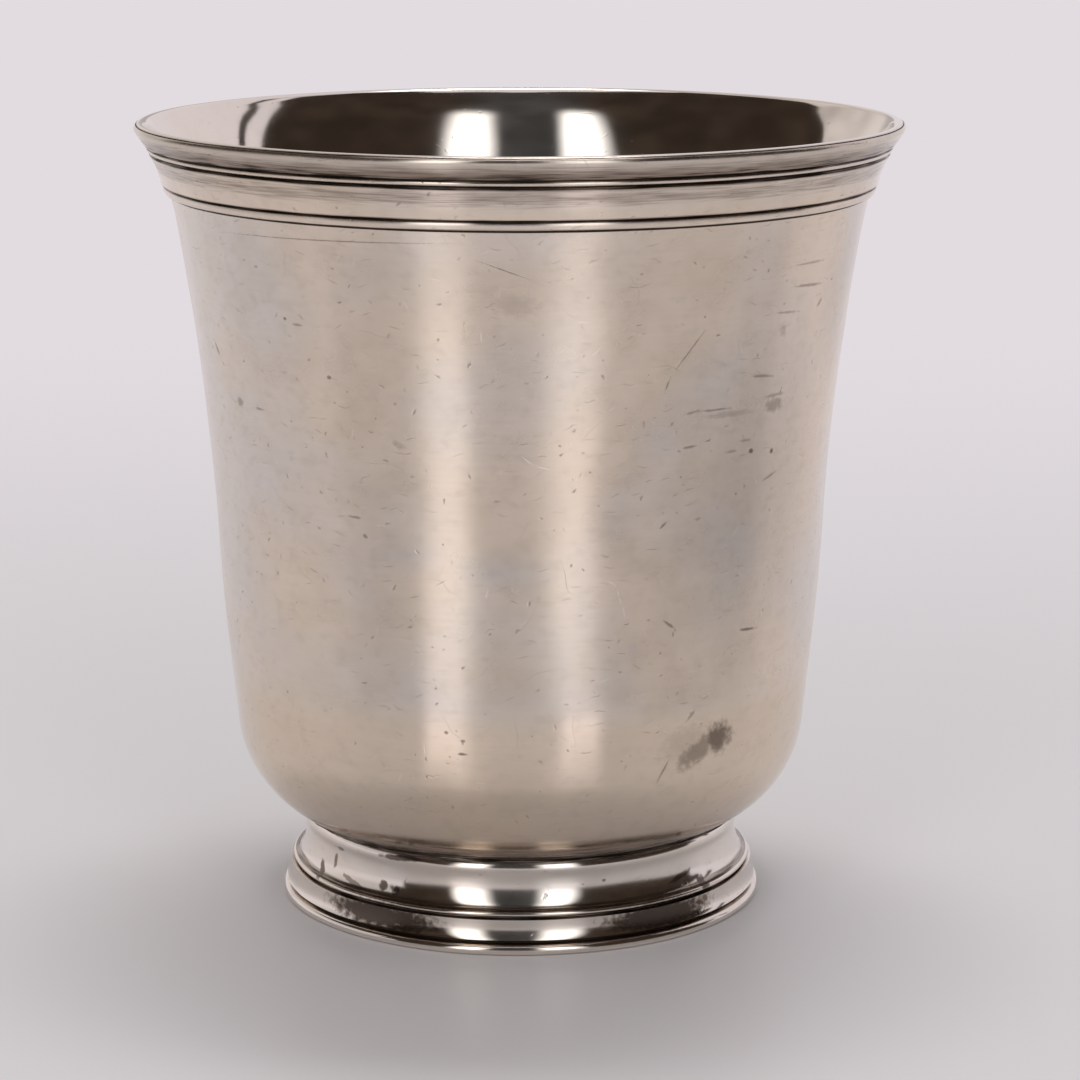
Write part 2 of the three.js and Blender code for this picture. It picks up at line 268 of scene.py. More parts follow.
class FinishSettings(PropertyGroup):
    """Colours and finish of the silver."""

    satin: colour("Satin silver", "Worn silver outside the bowl", (0.836, 0.717, 0.6))
    satin_cool: colour("Satin silver, cool", "Where the patina turns grey", (0.77, 0.712, 0.66))
    haze: colour("Haze", "Bluish film on the bowl", (0.63, 0.635, 0.66))
    # Painted shade: a dull grey film where the bowl and its lip band are to look darker
    painted_shade: colour("Smoke", "Dull grey film on the bowl and the lip", (0.48, 0.44, 0.4))
    # Brown patina, which also paints shade low on the bowl and under the reeds
    tan: colour("Tan", "Brown patina where hands and cloths don't reach", (0.768, 0.636, 0.498))
    honey: colour("Honey", "Light brown film on the bowl", (0.82, 0.69, 0.54))
    bright: colour("Bright silver", "Polished silver of the foot and inside", (0.87, 0.795, 0.725))
    bright_cool: colour("Bright silver, cool", "Where its patina turns grey", (0.82, 0.765, 0.715))
    scuff: colour("Scuff", "Bare metal in fresh scratches", (0.97, 0.94, 0.9))
    dash: colour("Dash", "Dirt in old scratches", (0.3, 0.25, 0.2))
    # Black of oxide, which also paints shade in the corner above the foot and under the reeded strip
    oxide: colour("Oxide", "Tarnish in grooves and seams", (0.04, 0.028, 0.02))
    stain: colour("Stain", "Brown stains", (0.2, 0.15, 0.12))
    solder: colour("Solder", "Hard solder", (0.62, 0.55, 0.47))
    foot_roughness: share("Foot roughness", "Roughness of the foot and the base ring", 0.12)
    foot_grain: share("Foot grain", "How much the polishing runs round the foot", 0.8)
    satin_roughness: share("Satin roughness", "Roughness outside the bowl", 0.24)
    satin_grain: share("Satin grain", "How much the polishing runs round the bowl", 0.95)
    shelter_roughness: share("Sheltered roughness", "Roughness where nothing rubs it", 0.1)
    bright_roughness: share("Bright roughness", "Roughness of the polished silver", 0.08)
    solder_roughness: share("Solder roughness", "Roughness of the solder", 0.32)
    # The bowl grows tan, with painted shade, towards the bottom between these heights
    shelter_top: length("Shelter top", "Height up to which the bowl is sheltered", 32 * MM)
    shelter_full: length("Shelter full", "Height under which nothing rubs it", 24 * MM)
    # The dark corner above the foot is tarnish and painted shade
    dark_rise: length("Dark rise", "Height of the dark corner above the foot", 2.9 * MM)
    black_rise: length("Black rise", "Height of its blackest part", 1.9 * MM)
    hammer: length("Hammer marks", "Height of the planishing left in the bowl", 0.09 * MM)
    hammer_spacing: length("Hammer spacing", "Distance between hammer marks", 14 * MM)


class StageSettings(PropertyGroup):
    """Floor, light and camera."""

    floor: colour("Floor", "Pale table", (0.77, 0.745, 0.755))
    backdrop: colour("Backdrop", "Pale surroundings", (0.76, 0.715, 0.745))
    ambient: colour("Ambient", "Light from all sides", (0.45, 0.44, 0.445))
    flag: colour("Flag", "Dark flags that the metal reflects", (0.04, 0.029, 0.022))
    flag_front: colour("Flag, front", "Their colour in front", (0.056, 0.055, 0.056))
    grey_flag: colour("Grey flag", "Grey flag behind on the left", (0.6, 0.56, 0.55))
    card: colour("Card", "Low white card on the left", (0.72, 0.69, 0.69))
    floor_radius: length("Floor radius", "Radius of the floor", 4.0)
    window_strength: share("Window strength", "Radiance of the two tall softboxes", 1.92)
    top_strength: share("Top strength", "Radiance of the lamp overhead", 14.0)
    camera_place: FloatVectorProperty(
        name="Camera place", description="Where the camera stands", subtype="TRANSLATION",
        unit="LENGTH", default=(2.26 * MM, -406.7 * MM, 126.9 * MM),
    )
    camera_pitch: FloatProperty(
        name="Camera pitch", description="How far the camera looks down", subtype="ANGLE",
        default=math.radians(11.89),
    )
    camera_lens: FloatProperty(
        name="Camera lens", description="Focal length on a 36 mm sensor", unit="CAMERA",
        default=119.53,
    )


class BeakerSettings(PropertyGroup):
    """All settings of the beaker and its stage."""

    bowl: PointerProperty(type=BowlSettings)
    rim: PointerProperty(type=RimSettings)
    foot: PointerProperty(type=FootSettings)
    solder: PointerProperty(type=SolderSettings)
    finish: PointerProperty(type=FinishSettings)
    stage: PointerProperty(type=StageSettings)
    segments: IntProperty(name="Segments", description="Facets round each piece", default=240)


# Where oxide, dirt and painted shade lie: strengths from 0 to 1, and lengths in metres
# Tarnish and painted shade in the corner above the foot
BROWN_CORNER_AND_SHADE = 0.62
BROWN_FADE = 0.5 * MM
BLACK_CORNER_AND_SHADE = 0.2
BLACK_FADE = 1 * MM
DARKENING_INSIDE_FOOT = (14 * MM, 20 * MM)
DIRT_OXIDE = 0.8
DIRT_REACH = 0.25 * MM
DIRT_SHARE = 0.2
STRIP_SHELTER = 0.3
# Painted shade on the lower, downward-facing half of each reed
UNDERSIDE_SHADE = 0.4
# Oxide and painted shade in the crease above the flange and at the base band's top, under the flange
FLANGE_OXIDE_AND_SHADE = 0.7
FLANGE_DARK_RISE = (0.8 * MM, 0.2 * MM)
BAND_OXIDE_AND_SHADE = 0.22

# How the foot's rounded top edge starts and ends, in degrees from level
SHOULDER_ANGLES = (-13, 38)


# Sections: a piece's outline from the axis outwards, as points with a radius and a height

def arc(radius, height, size, start, end, steps, **marks):
    """Points of an arc about a centre, both ends included."""
    angles = [start + (end - start) * i / steps for i in range(steps + 1)]
    return [
        Point(radius + size * math.cos(angle), height + size * math.sin(angle), **marks)
        for angle in angles
    ]


def spread(low, high, steps):
    """Values that split a stretch evenly, both ends included."""
    return [low + (high - low) * i / steps for i in range(steps + 1)]


def fade(value, start, end):
    """Runs smoothly from 0 to 1 as a value goes from a start to an end."""
    t = min(max((value - start) / (end - start), 0), 1)
    return t * t * (3 - 2 * t)


def beside(line, distance):
    """A line of points moved sideways, to the right of its run."""
    moved = []
    for i, point in enumerate(line):
        before, after = line[max(i - 1, 0)], line[min(i + 1, len(line) - 1)]
        run = Vector((after.radius - before.radius, after.height - before.height)).normalized()
        moved.append(point._replace(
            radius=point.radius + distance * run.y, height=point.height - distance * run.x
        ))
    return moved


def wall_stations(bowl):
    """Where the bowl's wall is fixed: shoulder, waist, start of the flare, and lip."""
    turn = turn_centre(bowl)
    lean = math.atan(bowl.shoulder_slope)
    shoulder = turn.height - bowl.turn_radius * math.sin(lean)
    lip_height = CUP_HEIGHT - bowl.wall * (1 - math.cos(math.atan(bowl.lip_slope)))
    return [
        Station(bowl.shoulder_radius, shoulder, bowl.shoulder_slope),
        Station(bowl.waist_radius, bowl.waist_height, bowl.waist_slope),
        Station(bowl.flare_radius, CUP_HEIGHT - bowl.flare_drop, bowl.flare_slope),
        Station(BOWL_HIGH.x, lip_height, bowl.lip_slope),
    ]


def turn_centre(bowl):
    """Centre of the round turn between the bowl's wall and its flat bottom."""
    lean = math.atan(bowl.shoulder_slope)
    return Point(
        bowl.shoulder_radius - bowl.turn_radius * math.cos(lean), BOWL_LOW.z + bowl.turn_radius
    )


def on_wall(stations, height, distance=0.0, **marks):
    """A point at a height up the bowl's wall, stood off it along its normal."""
    pairs = list(zip(stations, stations[1:]))
    low, high = next((pair for pair in pairs if height <= pair[1].height), pairs[-1])
    rise = high.height - low.height
    t = (height - low.height) / rise
    a, d = low.radius, high.radius
    b, c = a + low.slope * rise / 3, d - high.slope * rise / 3
    radius = (1 - t) ** 3 * a + 3 * (1 - t) ** 2 * t * b + 3 * (1 - t) * t ** 2 * c + t ** 3 * d
    run = 3 * ((1 - t) ** 2 * (b - a) + 2 * (1 - t) * t * (c - b) + t ** 2 * (d - c))
    normal = Vector((1, -run / rise)).normalized()
    return Point(radius + distance * normal.x, height + distance * normal.y, **marks)


def corner_tarnish_and_shade(point, finish):
    """How dark the bowl is in the corner above the foot, as tarnish and painted shade, and, half as
    much, inside the foot.
    """
    brown = FOOT_HIGH.z + finish.dark_rise
    black = FOOT_HIGH.z + finish.black_rise
    corner = BROWN_CORNER_AND_SHADE * fade(point.height, brown, brown - BROWN_FADE)
    corner += BLACK_CORNER_AND_SHADE * fade(point.height, black, black - BLACK_FADE)
    inside_foot, outside_foot = DARKENING_INSIDE_FOOT
    return corner * (0.5 + 0.5 * fade(point.radius, inside_foot, outside_foot))


def bowl_section(bowl, finish):
    """The bowl: outside from the axis up to the lip, round over it, and inside back down."""
    stations = wall_stations(bowl)
    shoulder, waist, flare, lip = stations
    turn = turn_centre(bowl)
    lean = math.atan(bowl.shoulder_slope)
    lip_lean = math.atan(bowl.lip_slope)
    heights = [
        *spread(shoulder.height, waist.height, steps=18)[1:],
        *spread(waist.height, flare.height, steps=22)[1:],
        *spread(flare.height, lip.height, steps=26)[1:],
    ]

    def side(distance, **marks):
        size = bowl.turn_radius + distance
        floor = BOWL_LOW.z - distance
        level = spread(0, turn.radius, steps=14)[1:-1]
        return [
            *(Point(radius, floor, **marks) for radius in level),
            *arc(turn.radius, turn.height, size, -math.pi / 2, -lean, steps=44, **marks),
            *(on_wall(stations, height, distance, **marks) for height in heights),
        ]

    # The outside's marks: tarnish and painted shade in the corner above the foot, and tan patina with
    # painted shade towards the bottom
    outside = [
        point._replace(
            oxide=corner_tarnish_and_shade(point, finish),
            shelter=fade(point.height, finish.shelter_top, finish.shelter_full),
        )
        for point in side(0)
    ]
    outside[-1] = outside[-1]._replace(oxide=0.8)
    punch = [
        Point(0, BOWL_LOW.z + bowl.punch_depth, oxide=0.9),
        Point(bowl.punch_radius * 0.4, BOWL_LOW.z + bowl.punch_depth * 0.75, oxide=0.8),
        Point(bowl.punch_radius, BOWL_LOW.z, oxide=0.6),
    ]
    along_lip = math.pi / 2 - lip_lean
    lip_round = arc(
        lip.radius - bowl.wall * math.sin(lip_lean), lip.height - bowl.wall * math.cos(lip_lean),
        bowl.wall, along_lip, along_lip + math.pi / 2, steps=8, polish=1.0,
    )
    inside = [
        point for point in side(-bowl.wall, polish=1.0) if point.height < lip_round[-1].height
    ]
    inside_centre = Point(0, BOWL_LOW.z + bowl.wall, polish=1.0)
    return [*punch, *outside, *lip_round[1:], *reversed(inside), inside_centre]


def strip_bottom(rim):
    """Height of the reeded strip's lower edge on the bowl's wall."""
    reeds = rim.lip_band + rim.upper_thread + rim.hollow + rim.lower_thread
    return CUP_HEIGHT - reeds - 3 * rim.groove


def rim_section(bowl, rim):
    """The reeded strip: round top edge, reeds with grooves between them, back on the bowl."""
    stations = wall_stations(bowl)
    lip = stations[-1]
    lip_lean = math.atan(bowl.lip_slope)
    proud = rim.clearance + rim.thickness
    top_back = on_wall(stations, lip.height, rim.clearance)
    face = arc(
        top_back.radius - rim.thickness * math.sin(lip_lean),
        top_back.height - rim.thickness * math.cos(lip_lean),
        rim.thickness, math.pi / 2 - lip_lean, -lip_lean, steps=8,
    )
    face = [point._replace(shelter=STRIP_SHELTER) for point in face]
    face[0] = face[0]._replace(oxide=0.9)
    reeds = [
        # The lip band darkens towards its lower edge: tarnish and painted shade
        Reed(rim.lip_band, rim.thread_round / 2, tarnish=0.73, tarnish_at=1.0, tarnish_reach=1.8),
        Reed(rim.upper_thread, rim.thread_round),
        Reed(rim.hollow, 0, rim.hollow_depth, tarnish=0.5, tarnish_at=-0.35, tarnish_reach=0.85),
        Reed(rim.lower_thread, rim.thread_round),
    ]
    top = CUP_HEIGHT
    for place, reed in enumerate(reeds):
        start = rim.thickness if place == 0 else 0
        for fall in spread(start, reed.tall, steps=14):
            across = 2 * fall / reed.tall - 1
            sink = reed.middle + (reed.edges - reed.middle) * across ** 2
            away = (across - reed.tarnish_at) / reed.tarnish_reach
            tarnish = reed.tarnish * max(1 - away ** 2, 0)
            dirt = min(DIRT_REACH, DIRT_SHARE * reed.tall)
            if place or across > 0:
                to_groove = (1 - abs(across)) * reed.tall / 2
                tarnish = max(tarnish, DIRT_OXIDE * fade(to_groove, dirt, 0))
            # Painted shade: the lower half of each reed, which faces down, is tanned more
            shelter = STRIP_SHELTER + UNDERSIDE_SHADE * max(across, 0)
            face.append(
                on_wall(stations, top - fall, proud - sink, oxide=tarnish, shelter=shelter)
            )
        top -= reed.tall
        if place < len(reeds) - 1:
            for step in spread(-1, 1, steps=6)[1:-1]:
                height = top - rim.groove * (step + 1) / 2
                sink = reed.edges + (rim.groove_depth - reed.edges) * (1 - step ** 4)
                face.append(on_wall(stations, height, proud - sink, oxide=1 - step ** 4))
            top -= rim.groove
    lower_edge = face[-1]._replace(oxide=0.9)
    back = [
        on_wall(stations, height, rim.clearance, oxide=1.0)
        for height in spread(top, lip.height, steps=20)
    ]
    return [*face[:-1], lower_edge, *back[:-1]]


def foot_lines(foot):
    """Middle line of the foot's sheet: in from the flange, up the neck and out to the top."""
    half = foot.wall / 2
    flange = Point(FOOT_HIGH.x - half, FOOT_LOW.z + half)
    neck = Point(flange.radius - foot.flange_reach, flange.height + foot.cavetto)
    top = Point(neck.radius + foot.neck_depth, neck.height + foot.neck_rise)
    hollow = [
        Point(
            flange.radius + foot.flange_reach * math.cos(angle),
            neck.height + foot.cavetto * math.sin(angle),
        )
        for angle in spread(1.5 * math.pi, math.pi, steps=22)
    ]
    rise = [
        Point(neck.radius + foot.neck_depth * t ** 2, neck.height + foot.neck_rise * t)
        for t in spread(0, 1, steps=14)[1:]
    ]
    return flange, top, [*hollow, *rise]


def foot_section(foot):
    """The spool foot: a strip of sheet with a rounded flange and a rounded top edge."""
    half = foot.wall / 2
    flange, _, line = foot_lines(foot)
    flange_end = arc(flange.radius, flange.height, half, -math.pi / 2, math.pi / 2, steps=12)
    clean, dirty = (FOOT_LOW.z + foot.wall + rise for rise in FLANGE_DARK_RISE)
    # Oxide and painted shade darken the outside just above the flange
    outside = [
        point._replace(oxide=FLANGE_OXIDE_AND_SHADE * fade(point.height, clean, dirty))
        for point in beside(line, half)
    ]
    inside = [point._replace(oxide=0.45) for point in beside(line, -half)]
    # The outside goes over into the shoulder where the two run alike
    lean, end = (math.radians(angle) for angle in SHOULDER_ANGLES)
    rise = foot.shoulder * (math.sin(end) - math.sin(lean))
    below = [point for point in outside if point.height < FOOT_HIGH.z - rise]
    shoulder = arc(
        below[-1].radius - foot.shoulder * math.cos(lean),
        FOOT_HIGH.z - foot.shoulder * math.sin(end), foot.shoulder, lean, end, steps=12,
    )
    return [*below[:-1], *shoulder, *reversed(inside[1:]), *flange_end[:-1]]


def base_section(foot):
    """The base ring: flat underside, bead, groove, hollow band and flat top."""
    inner = BASE_HIGH.x - foot.ring_width
    half = foot.bead / 2
    low = Point(BASE_HIGH.x - foot.band_foot, foot.bead + foot.groove)
    high = Point(BASE_HIGH.x - foot.band_top, BASE_HIGH.z)
    bead = arc(BASE_HIGH.x - half, half, half, -math.pi / 2, math.pi / 2, steps=16)
    floor_of_groove = BASE_HIGH.x - foot.groove_depth
    groove = [
        Point(floor_of_groove, foot.bead + foot.groove * t, oxide=1.0) for t in (0.25, 0.5, 0.75)
    ]
    # The band darkens towards its top, under the flange: oxide and painted shade
    band = [
        Point(
            (1 - t) ** 2 * low.radius + (1 - (1 - t) ** 2) * high.radius,
            (1 - t) ** 2 * low.height + 2 * (1 - t) * t * (low.height + foot.band_flare)
            + t ** 2 * high.height,
            oxide=BAND_OXIDE_AND_SHADE * fade(t, 0.5, 0.95),
        )
        for t in spread(0, 1, steps=16)
    ]
    level = spread(BASE_HIGH.x - half, inner, steps=4)
    underside = [Point(radius, 0) for radius in reversed(level[1:])]
    ledge = spread(high.radius, inner, steps=4)[1:]
    top = [Point(radius, BASE_HIGH.z, oxide=0.8) for radius in ledge]
    return [*underside, *bead, *groove, *band, *top]


def rim_solder_section(bowl, rim, solder):
    """The fillet under the reeded strip, hollow on its face."""
    stations = wall_stations(bowl)
    high = strip_bottom(rim) - solder.clearance
    low = high - solder.fillet
    face = []
    for t in spread(0, 1, steps=5):
        stand_off = solder.clearance + solder.fillet * t ** 2
        # Black on all but its lowest part: a dark joint and painted shade under the strip
        oxide = fade(t, 0.0, 0.2)
        face.append(on_wall(stations, low + solder.fillet * t, stand_off, oxide=oxide))
    return [*face, on_wall(stations, high, solder.clearance, oxide=1.0)]


def foot_solder_section(bowl, foot, solder):
    """The seam that follows the bowl's underside over the foot's top edge."""
    turn = turn_centre(bowl)
    _, top, _ = foot_lines(foot)
    middle = math.atan2(top.height - turn.height, top.radius - turn.radius)
    half = solder.seam_width / 2 / bowl.turn_radius
    outer = bowl.turn_radius + solder.seam - solder.clearance
    inner = bowl.turn_radius + solder.clearance
    return [
        *arc(turn.radius, turn.height, outer, middle - half, middle + half, steps=8, oxide=0.8),
        *arc(turn.radius, turn.height, inner, middle + half, middle - half, steps=8, oxide=0.8),
    ]


def base_solder_section(solder):
    """The flat seam between the base ring and the foot's flange."""
    outer = FOOT_HIGH.x - solder.base_recess
    inner = outer - solder.base_width
    low, high = BASE_HIGH.z, FOOT_LOW.z
    bulge = (high - low) / 2
    face = arc(
        outer - bulge, (low + high) / 2, bulge, -math.pi / 2, math.pi / 2, steps=6, oxide=0.8
    )
    return [Point(inner, low, oxide=0.8), *face, Point(inner, high, oxide=0.8)]


# Meshes

# The smaller hammer marks, beside the larger ones: their share of the height, and how much closer
# together they lie
FINE_HAMMER = 0.45
FINE_HAMMER_SCALE = 2.7
SOLDER_GRAIN = 0.9 * MM
SOLDER_SEED = 1
SHARP_ANGLE = math.radians(50)
SAME_PLACE = 0.001 * MM


def spun(section, segments, closed):
    """A round shape spun from its section, with the section's marks on its vertices."""
    shape = bmesh.new()
    layers = {mark: shape.verts.layers.float.new(mark) for mark in (OXIDE_AND_SHADE, SHELTER_AND_SHADE, POLISH)}
    ring = []
    for point in section:
        vertex = shape.verts.new((0, point.radius, point.height))
        for mark, layer in layers.items():
            vertex[layer] = getattr(point, mark)
        ring.append(vertex)
    pairs = list(zip(ring, ring[1:]))
    if closed:
        pairs.append((ring[-1], ring[0]))
    edges = [shape.edges.new(pair) for pair in pairs]
    bmesh.ops.spin(
        shape, geom=ring + edges, cent=(0, 0, 0), axis=(0, 0, 1), angle=math.tau,
        steps=segments, use_merge=True,
    )
    bmesh.ops.remove_doubles(shape, verts=shape.verts, dist=SAME_PLACE)
    bmesh.ops.recalc_face_normals(shape, faces=shape.faces)
    for face in shape.faces:
        face.smooth = True
        face.material_index = int(all(vertex[layers[POLISH]] > 0.5 for vertex in face.verts))
    return shape


def planish(shape, finish):
    """Moves each vertex a little in or out from the axis, as hammering leaves raised silver."""
    for vertex in shape.verts:
        level = Vector((vertex.co.x, vertex.co.y, 0))
        place = vertex.co / finish.hammer_spacing
        swell = noise.noise(place) + FINE_HAMMER * noise.noise(place * FINE_HAMMER_SCALE)
        near_axis = min(level.length / finish.hammer_spacing, 1)
        vertex.co += level.normalized() * (swell * near_axis * finish.hammer)


def roughen(shape, amount):
    """Moves each vertex unevenly, as solder sets, and alike in every run."""
    noise.seed_set(SOLDER_SEED)
    for vertex in shape.verts:
        vertex.co += noise.noise_vector(vertex.co / SOLDER_GRAIN) * amount


def add_mesh(name, shape, materials):
    """Makes the shape an object in the scene."""
    mesh = bpy.data.meshes.new(name)
    shape.to_mesh(mesh)
    shape.free()
    for material in materials:
        mesh.materials.append(material)
    made = bpy.data.objects.new(name, mesh)
    bpy.context.scene.collection.objects.link(made)
    return made


def place_piece(name, shape, materials, node):
    """Makes the shape an object that rides on the cup and stands for its solid."""
    piece = add_mesh(name, shape, materials)
    if len(materials) == 1:
        faces = piece.data.polygons
        faces.foreach_set("material_index", [0] * len(faces))
    piece.data.set_sharp_from_angle(angle=SHARP_ANGLE)
    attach(piece, "root")
    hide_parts(node)


# Node trees

class Wiring:
    """Adds nodes to one tree and links them."""

    def __init__(self, tree):
        self.tree = tree

    def add(self, kind, inputs=None, **settings):
        node = self.tree.nodes.new("ShaderNode" + kind)
        for name, value in settings.items():
            setattr(node, name, value)
        for key, value in (inputs or {}).items():
            self.feed(node.inputs[key], value)
        return node

    def feed(self, socket, value):
        if isinstance(value, bpy.types.NodeSocket):
            self.tree.links.new(value, socket)
        else:
            socket.default_value = value

    def math(self, operation, *values):
        return self.add("Math", dict(enumerate(values)), operation=operation).outputs[0]

    def vector(self, operation, *values):
        return self.add("VectorMath", dict(enumerate(values)), operation=operation).outputs[0]

    def measure(self, operation, *values):
        node = self.add("VectorMath", dict(enumerate(values)), operation=operation)
        return node.outputs["Value"]

    def scaled(self, vector, factor):
        return self.add("VectorMath", {0: vector, "Scale": factor}, operation="SCALE").outputs[0]

    def ramp(self, value, low, high, start=0.0, end=1.0):
        inputs = {"Value": value, 1: low, 2: high, 3: start, 4: end}
        return self.add("MapRange", inputs, interpolation_type="SMOOTHSTEP").outputs[0]

    def mix(self, factor, first, second):
        inputs = {0: factor, 6: first, 7: second}
        return self.add("Mix", inputs, data_type="RGBA").outputs[2]

    def group(self, tree, **inputs):
        node = self.add("Group", node_tree=tree)
        for key, value in inputs.items():
            self.feed(node.inputs[key.replace("_", " ").capitalize()], value)
        return node.outputs


def new_material(name):
    """A material with nodes, and the wiring of its tree."""
    material = bpy.data.materials.new(name)
    material.use_nodes = True
    return material, Wiring(material.node_tree)


def new_group(name, inputs, outputs, places=()):
    """An empty node group with its sockets: (wiring, input sockets, output sockets)."""
    tree = bpy.data.node_groups.new(name, "ShaderNodeTree")
    for label, default in inputs.items():
        kind = "NodeSocketVector" if isinstance(default, tuple) else "NodeSocketFloat"
        socket = tree.interface.new_socket(label, in_out="INPUT", socket_type=kind)
        socket.default_value = default
    for label in places:
        tree.interface.new_socket(label, in_out="OUTPUT", socket_type="NodeSocketVector")
    for label in outputs:
        tree.interface.new_socket(label, in_out="OUTPUT", socket_type="NodeSocketFloat")
    start = tree.nodes.new("NodeGroupInput")
    end = tree.nodes.new("NodeGroupOutput")
    return Wiring(tree), start.outputs, end.inputs


def unrolled_group():
    """Lays the round surface out flat: round the axis and up the section, or up the height."""
    wiring, given, result = new_group(
        "Unrolled surface", {"Place": (0, 0, 0), "Radius": 35 * MM}, [], ["Surface", "Side"]
    )
    parts = wiring.add("SeparateXYZ", {0: given["Place"]}).outputs
    turn = wiring.math("ARCTAN2", parts["X"], wiring.math("MULTIPLY", parts["Y"], -1.0))
    level = wiring.add("CombineXYZ", {"X": parts["X"], "Y": parts["Y"]}).outputs[0]
    out = wiring.measure("LENGTH", level)
    around = wiring.math("MULTIPLY", turn, given["Radius"])
    along = wiring.math("ADD", parts["Z"], out)
    flat = wiring.add("CombineXYZ", {"X": around, "Y": along}).outputs[0]
    side = wiring.add("CombineXYZ", {"X": around, "Y": parts["Z"]}).outputs[0]
    wiring.feed(result["Surface"], flat)
    wiring.feed(result["Side"], side)
    return wiring.tree


def scratches_group():
    """Short bent scratches, one in some of the cells, which may all lie nearly level."""
    wiring, given, result = new_group(
        "Scratches",
        {
            "Surface": (0, 0, 0), "Spacing": 5 * MM, "Width": 0.08 * MM, "Share": 0.5, "Bend": 0.3,
            "Spread": math.pi,
        },
        ["Mask"],
    )
    cells = wiring.scaled(given["Surface"], wiring.math("DIVIDE", 1.0, given["Spacing"]))
    sway = wiring.add("TexNoise", {"Vector": cells, "Scale": 1.3, "Detail": 1.0}).outputs["Color"]
    bent = wiring.vector(
        "ADD", cells, wiring.scaled(wiring.vector("SUBTRACT", sway, (0.5,) * 3), given["Bend"])
    )
    cell = wiring.add("TexVoronoi", {"Vector": bent, "Scale": 1.0}, voronoi_dimensions="2D").outputs
    chance = wiring.add("SeparateColor", {0: cell["Color"]}).outputs
    lean = wiring.math("MULTIPLY", wiring.math("SUBTRACT", chance["Red"], 0.5), given["Spread"])
    across = wiring.add(
        "CombineXYZ", {"X": wiring.math("SINE", lean), "Y": wiring.math("COSINE", lean)}
    ).outputs[0]
    local = wiring.vector("SUBTRACT", bent, cell["Position"])
    away = wiring.math("ABSOLUTE", wiring.measure("DOT_PRODUCT", local, across))
    away = wiring.math("MULTIPLY", away, given["Spacing"])
    taper = wiring.ramp(cell["Distance"], 0.1, 0.5, 1.0, 0.0)
    line = wiring.ramp(away, 0.0, given["Width"], 1.0, 0.0)
    chosen = wiring.math("LESS_THAN", chance["Green"], given["Share"])
    drawn = wiring.math("MULTIPLY", wiring.math("MULTIPLY", line, taper), chosen)
    wiring.feed(result["Mask"], wiring.math("MULTIPLY", drawn, chance["Blue"]))
    return wiring.tree


def flecks_group():
    """Small dark flecks of uneven size and shape, one in some of the cells."""
    wiring, given, result = new_group(
        "Flecks",
        {"Surface": (0, 0, 0), "Spacing": 2 * MM, "Size": 0.2 * MM, "Share": 0.3, "Stretch": 3.0},
        ["Mask"],
    )
    cells = wiring.scaled(given["Surface"], wiring.math("DIVIDE", 1.0, given["Spacing"]))
    sway = wiring.add("TexNoise", {"Vector": cells, "Scale": 5.0, "Detail": 1.0}).outputs["Color"]
    bent = wiring.vector("ADD", cells, wiring.scaled(wiring.vector("SUBTRACT", sway, (0.5,) * 3), 0.25))
    cell = wiring.add("TexVoronoi", {"Vector": bent, "Scale": 1.0}, voronoi_dimensions="2D").outputs
    chance = wiring.add("SeparateColor", {0: cell["Color"]}).outputs
    local = wiring.vector("SUBTRACT", bent, cell["Position"])
    lean = wiring.math("MULTIPLY", chance["Red"], math.tau)
    turned = wiring.add("VectorRotate", {"Vector": local, "Angle": lean}, rotation_type="Z_AXIS")
    drawn_out = wiring.ramp(chance["Green"], 0.0, 1.0, 1.0, given["Stretch"])
    shaped = wiring.vector(
        "DIVIDE", turned.outputs[0], wiring.add("CombineXYZ", {0: drawn_out, 1: 1.0, 2: 1.0}).outputs[0]
    )
    away = wiring.math("MULTIPLY", wiring.measure("LENGTH", shaped), given["Spacing"])
    small = wiring.math("DIVIDE", chance["Blue"], given["Share"])
    size = wiring.math("MULTIPLY", given["Size"], wiring.ramp(small, 0.0, 1.0, 1.0, 0.3))
    fleck = wiring.ramp(away, wiring.math("MULTIPLY", size, 0.2), size, 1.0, 0.0)
    chosen = wiring.math("LESS_THAN", chance["Blue"], given["Share"])
    strength = wiring.ramp(chance["Red"], 0.0, 1.0, 0.35, 1.0)
    drawn = wiring.math("MULTIPLY", wiring.math("MULTIPLY", fleck, chosen), strength)
    wiring.feed(result["Mask"], drawn)
    return wiring.tree


def patina_group():
    """Uneven tarnish: broad clouds, finer mottling and grit, streaks and polishing lines."""
    wiring, given, result = new_group(
        "Patina", {"Place": (0, 0, 0), "Size": 20 * MM},
        ["Cloud", "Mottle", "Speckle", "Grit", "Streak", "Brush"],
    )
    spots = wiring.scaled(given["Place"], wiring.math("DIVIDE", 1.0, given["Size"]))
    # Each layer's stretch in x, y and z, its detail, and the values that its noise is spread over
    layers = {
        "Cloud": ((1.0, 1.0, 1.0), 1.5, 0.35, 0.65),
        "Mottle": ((4.0, 4.0, 5.0), 1.5, 0.3, 0.7),
        "Speckle": ((11.0, 11.0, 16.0), 2.5, 0.45, 0.8),
        "Grit": ((30.0, 30.0, 30.0), 3.0, 0.25, 0.75),
        "Streak": ((4.0, 4.0, 110.0), 2.0, 0.3, 0.75),
        "Brush": ((2.0, 2.0, 70.0), 1.0, 0.3, 0.7),
    }
    for label, (stretch, detail, low, high) in layers.items():
        drawn = wiring.vector("MULTIPLY", spots, stretch)
        layer = wiring.add("TexNoise", {"Vector": drawn, "Scale": 1.0, "Detail": detail})
        wiring.feed(result[label], wiring.ramp(layer.outputs["Fac"], low, high))
    return wiring.tree


